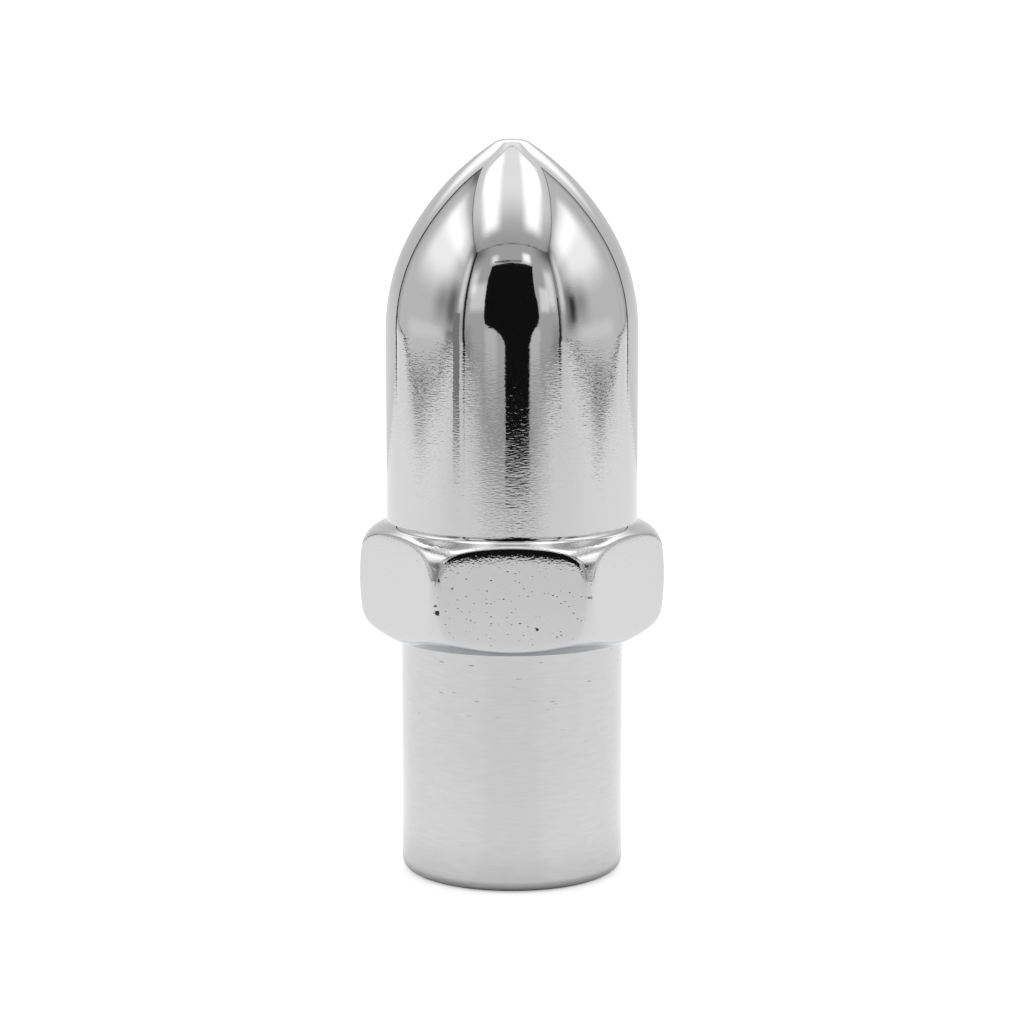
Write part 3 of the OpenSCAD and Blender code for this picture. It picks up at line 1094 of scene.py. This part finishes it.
# %% [markdown]
# ## Floor and world
#
# The floor is a pale matt board that takes the nut's soft shadow. A glow lifts it to white where
# the camera sees it. Where the chrome mirrors it the lift is smaller, and smaller still before
# the nut, in the shade of the camera, and there is none at the nut's own foot.

# %% How much of the lift the chrome mirrors over the floor
LIFT_REACH = 0.25
# (share of that reach, share of the lift)
lift_stops = [(0.036, 0), (0.042, 0.8), (0.08, 1), (0.2, 0.75), (0.6, 0.67), (0.9, 0.78)]
# Fans before the nut: the slopes |x| / -y over which each fades out, and its factor inside
lift_fans = [(0.4, 0.55, 0.86), (2.3, 3.0, 0.94)]


def lift_by_place(tree, place, reach):
    """Share of the lift over the floor: none at the nut's foot, and less before the camera."""
    reach = add_node(tree, "ShaderNodeMath", {0: reach, 1: LIFT_REACH}, operation="DIVIDE")
    ramp = add_node(tree, "ShaderNodeValToRGB", {0: reach})
    set_stops(ramp, lift_stops)
    axes = add_node(tree, "ShaderNodeSeparateXYZ", {0: place}).outputs
    aside = add_node(tree, "ShaderNodeMath", {0: axes["X"]}, operation="ABSOLUTE")
    ahead = add_node(tree, "ShaderNodeMath", {0: axes["Y"], 1: -1.0}, operation="MULTIPLY")
    ahead = add_node(tree, "ShaderNodeMath", {0: ahead, 1: 0.01 * MM}, operation="MAXIMUM")
    slope = add_node(tree, "ShaderNodeMath", {0: aside, 1: ahead}, operation="DIVIDE")
    share = ramp.outputs["Color"]
    for start, end, dimmed in lift_fans:
        fan = {0: slope, 1: start, 2: end, 3: dimmed, 4: 1.0}
        fan = add_node(tree, "ShaderNodeMapRange", fan, interpolation_type="SMOOTHSTEP")
        share = add_node(tree, "ShaderNodeMath", {0: share, 1: fan}, operation="MULTIPLY")
    return share


# %% The floor's material
CAMERA_LIFT = 0.48
MIRROR_LIFT = 0.38
FAR_FLOOR = (0.15, 0.22)


def pale_floor():
    """Matt white board, lifted to white where the camera sees it, and a little in mirrors."""
    material, tree, shader = new_material("floor_board", "ShaderNodeAddShader")
    board = add_node(tree, "ShaderNodeBsdfDiffuse", {"Color": linear("EFEFEF")})
    place = add_node(tree, "ShaderNodeTexCoord").outputs["Object"]
    reach = add_node(tree, "ShaderNodeVectorMath", {0: place}, operation="LENGTH").outputs["Value"]
    rays = add_node(tree, "ShaderNodeLightPath").outputs
    mirrored = {0: rays["Is Glossy Ray"], 1: rays["Is Transmission Ray"]}
    mirrored = add_node(tree, "ShaderNodeMath", mirrored, operation="MAXIMUM")
    lift = add_node(tree, "ShaderNodeMath", {0: mirrored, 1: MIRROR_LIFT}, operation="MULTIPLY")
    lift = {0: lift, 1: lift_by_place(tree, place, reach)}
    lift = add_node(tree, "ShaderNodeMath", lift, operation="MULTIPLY")
    far = {0: reach, 1: FAR_FLOOR[0], 2: FAR_FLOOR[1], 3: CAMERA_LIFT, 4: 1.0}
    far = add_node(tree, "ShaderNodeMapRange", far, interpolation_type="SMOOTHSTEP")
    lift = {0: rays["Is Camera Ray"], 1: far, 2: lift}
    lift = add_node(tree, "ShaderNodeMath", lift, operation="MULTIPLY_ADD")
    glow = add_node(tree, "ShaderNodeEmission", {"Strength": lift})
    tree.links.new(board.outputs[0], shader.inputs[0])
    tree.links.new(glow.outputs[0], shader.inputs[1])
    return material


# %% The floor's board, and a white world
FLOOR_SIZE = 8.0
bpy.ops.object.select_all(action="DESELECT")
bpy.ops.mesh.primitive_plane_add(size=FLOOR_SIZE, location=(0, 0, 0))
floor = bpy.context.object
floor.name = "floor"
floor.data.materials.append(pale_floor())

world = bpy.data.worlds.new("white_room")
bpy.context.scene.world = world
world.use_nodes = True
sky = world.node_tree.nodes["Background"]
sky.inputs["Color"].default_value = (1, 1, 1, 1)
sky.inputs["Strength"].default_value = 1.0
bpy.context.scene.view_settings.view_transform = "Standard"
print(f"the floor is {FLOOR_SIZE:.0f} m wide")

# %% [markdown]
# ## Camera
#
# It looks slightly down from the front, through a long lens, so that upright sides stay nearly
# parallel.

# %% Camera
camera_place = Vector((0, -280.35, 76.72)) * MM
camera_aim = Vector((0, 0, 28.45)) * MM
bpy.ops.object.camera_add(location=camera_place)
camera = bpy.context.object
camera.rotation_euler = (camera_aim - camera_place).to_track_quat("-Z", "Y").to_euler()
camera.data.sensor_width = 36
camera.data.lens = 127.7
camera.data.clip_start = 0.01
camera.data.clip_end = 20
bpy.context.scene.camera = camera
print(f"camera {(camera_aim - camera_place).length / MM:.0f} mm from the nut")
